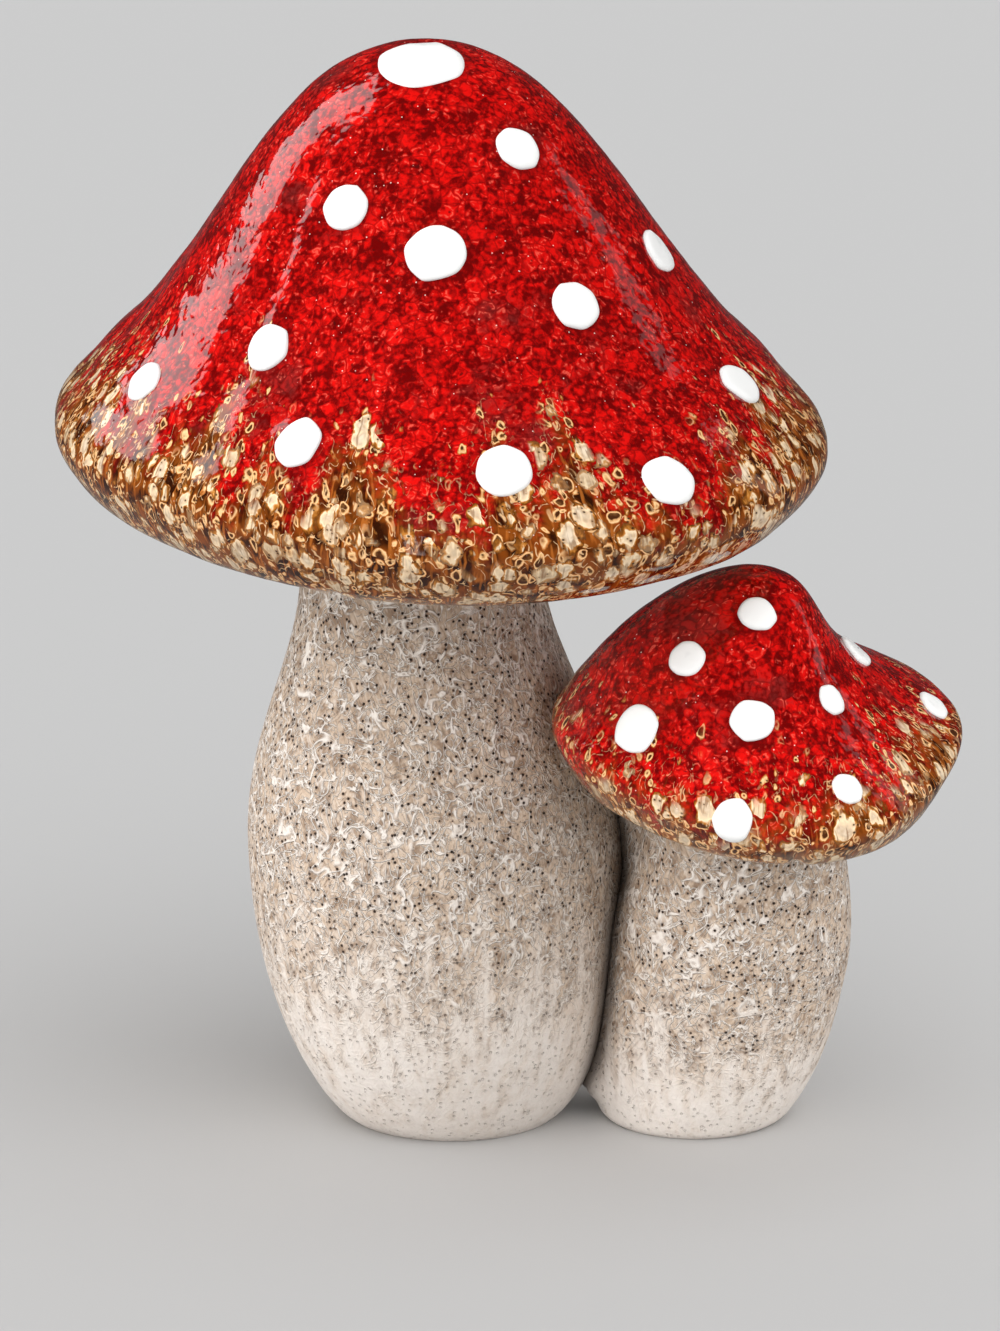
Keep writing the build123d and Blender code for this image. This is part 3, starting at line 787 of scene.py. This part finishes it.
def dab(name, node, cap, centre, seed):
    """One dot: an uneven round drop laid over the glaze."""
    skin = BVHTree.FromPolygons(
        [v.co for v in cap.data.vertices], [p.vertices for p in cap.data.polygons])
    middle, out, side, other, edge = dot_place(node, centre)
    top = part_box(node)[1].z
    flats = []
    for k in range(DOT_SIDES):
        off = 0.7 * noise.noise(Vector((seed * 1.7, k * 2.3, 0.4)))
        far = 1.0 + 0.08 * noise.noise(Vector((seed * 2.9, k * 1.9, 5.2)))
        flats.append((2 * math.pi * (k + off) / DOT_SIDES, far))
    rings = []
    for k, share in enumerate(DOT_TOP + DOT_UNDER):
        row = []
        for j in range(DOT_STEPS):
            turn = 2 * math.pi * j / DOT_STEPS
            facets = sum((max(0.0, math.cos(turn - to)) / far) ** DOT_CORNERS for to, far in flats)
            way = side * math.cos(turn) + other * math.sin(turn)
            way = way * (edge[j] * share * facets ** (-1 / DOT_CORNERS))
            spot = skin.ray_cast(middle + way + out * DOT_OVER, -out)[0] or middle + way
            height = -DOT_TUCK
            if k < len(DOT_TOP):
                lump = 0.95 + 0.1 * noise.noise(way * 260 + Vector((seed, 0, 0)))
                height = DOT_RISE * lump * (1 - share ** DOT_SHOULDER) ** 0.5
            spot = spot + out * height
            spot.z = min(spot.z, top)
            row.append(spot)
        rings.append(row)
    piece = ring_mesh(name, np.array(rings))
    piece.data.materials.append(dot_enamel)
    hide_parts(node)
    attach(piece, BODY)
    return piece


def dabs(nodes, cap, centre):
    """All the dots of one cap."""
    return [dab(node.replace("spot", "dot"), node, cap, centre, k + len(nodes))
            for k, node in enumerate(nodes)]


large_dabs = dabs(large_dots, large_cap, large_centre)
small_dabs = dabs(small_dots, small_cap, small_centre)

# Floor, light and camera
# A plain pale flat sheet of paper under soft studio light from all round, with softboxes at the
# sides for the gloss, seen from a little above as in the photograph.
FLOOR_HALF = 8
FLOOR_GREY = (0.622, 0.622, 0.622, 1)
paper, tree, shader, place = material("floor_paper", 0.9)
shader.inputs["Base Color"].default_value = FLOOR_GREY
shader.inputs["Specular IOR Level"].default_value = 0.0
mesh = bpy.data.meshes.new("floor")
corners = ((-1, -1), (1, -1), (1, 1), (-1, 1))
mesh.from_pydata([(FLOOR_HALF * x, FLOOR_HALF * y, 0) for x, y in corners], [], [(0, 1, 2, 3)])
floor = bpy.data.objects.new("floor", mesh)
bpy.context.scene.collection.objects.link(floor)
mesh.materials.append(paper)
floor.visible_glossy = False

SKY = 0.46
SKY_GLOSS = 0.03
FLOOR_GLOSS = 0.22
scene = bpy.context.scene
world = bpy.data.worlds.new("studio")
world.use_nodes = True
scene.world = world
tree = world.node_tree
sky = tree.nodes["Background"]
sky.inputs["Color"].default_value = (1.0, 1.0, 1.0, 1)
glossy = add(tree, "ShaderNodeLightPath").outputs["Is Glossy Ray"]
way = add(tree, "ShaderNodeTexCoord").outputs["Generated"]
upward = add(tree, "ShaderNodeSeparateXYZ", {0: way}).outputs["Z"]
gloss = calc(tree, "MULTIPLY_ADD", fade(tree, upward, 0.1, -0.6), FLOOR_GLOSS, SKY_GLOSS)
strength = add(tree, "ShaderNodeMix", {0: glossy, 2: SKY, 3: gloss}, data_type="FLOAT").outputs[0]
tree.links.new(strength, sky.inputs["Strength"])

LAMP_SPREAD = math.radians(85)


def broad_light(name, power, way):
    """A very wide soft light from far off, too soft to show in the gloss."""
    light = bpy.data.lights.new(name, "SUN")
    light.energy = power
    light.angle = LAMP_SPREAD
    lamp = bpy.data.objects.new(name, light)
    lamp.rotation_euler = Vector(way).to_track_quat("-Z", "Y").to_euler()
    lamp.visible_glossy = False
    scene.collection.objects.link(lamp)
    return lamp


def linked(name, pieces, state):
    """Pieces for a lamp to count in, or to leave out."""
    group = bpy.data.collections.new(name)
    for piece in pieces:
        group.objects.link(piece)
    for entry in group.collection_objects:
        entry.light_linking.link_state = state
    return group


def shine(lamp, pieces, state):
    """Lets a lamp light only some pieces, or all but those pieces."""
    lamp.light_linking.receiver_collection = linked(lamp.name + "_lit", pieces, state)


stems = [large_stem, small_stem]
shine(broad_light("key", 3.25, (0.785, 0.366, -0.500)), [floor], "EXCLUDE")
shine(broad_light("front", 0.95, (-0.10, 0.93, -0.35)), [small_cap] + small_dabs, "INCLUDE")
shine(broad_light("side", 1.0, (-0.62, 0.69, -0.35)), [small_stem], "INCLUDE")
shine(broad_light("fill", 1.38, (-0.800, 0.330, -0.500)), [floor], "EXCLUDE")
floor_lamp = broad_light("floor_lamp", 1.91, (-0.18, 0.50, -0.85))
floor_lamp.light_linking.blocker_collection = linked("floor_shades", stems, "INCLUDE")
shine(floor_lamp, [floor], "INCLUDE")


def softbox(name, place, aim, wide, tall, power):
    """A lamp that shows only as a reflection."""
    light = bpy.data.lights.new(name, "AREA")
    light.shape = "RECTANGLE"
    light.size = wide
    light.size_y = tall
    light.energy = power
    box = bpy.data.objects.new(name, light)
    box.location = place
    box.rotation_euler = (Vector(aim) - Vector(place)).to_track_quat("-Z", "Y").to_euler()
    box.visible_diffuse = False
    scene.collection.objects.link(box)
    return box


aim = (0, 0, 0.11)
softbox("left_box", (-0.95, 0.54, 1.0), aim, wide=0.62, tall=1.1, power=6.0)
softbox("right_strip", (1.2, 0.5, 0.6), aim, wide=0.2, tall=0.9, power=0.35)
front_strip = softbox("front_strip", (-0.507, -1.088, 0.55), aim, wide=0.12, tall=1.0, power=1.0)
shine(front_strip, [large_cap], "INCLUDE")

FILM_WIDTH = 36.0
LENS_SHARE = 6.05
VIEW_ABOVE = math.radians(15)
VIEW_FAR = 1.1
lens = bpy.data.cameras.new("view")
lens.sensor_fit = "HORIZONTAL"
lens.sensor_width = FILM_WIDTH
lens.lens = FILM_WIDTH * LENS_SHARE
lens.clip_end = 50.0
camera = bpy.data.objects.new("view", lens)
look_at = Vector((-0.0011, 0.0, 0.085))
camera.location = look_at + Vector((0, -math.cos(VIEW_ABOVE), math.sin(VIEW_ABOVE))) * VIEW_FAR
camera.rotation_euler = (look_at - camera.location).to_track_quat("-Z", "Y").to_euler()
scene.collection.objects.link(camera)
scene.camera = camera
scene.view_settings.view_transform = "Standard"
scene.view_settings.look = "None"
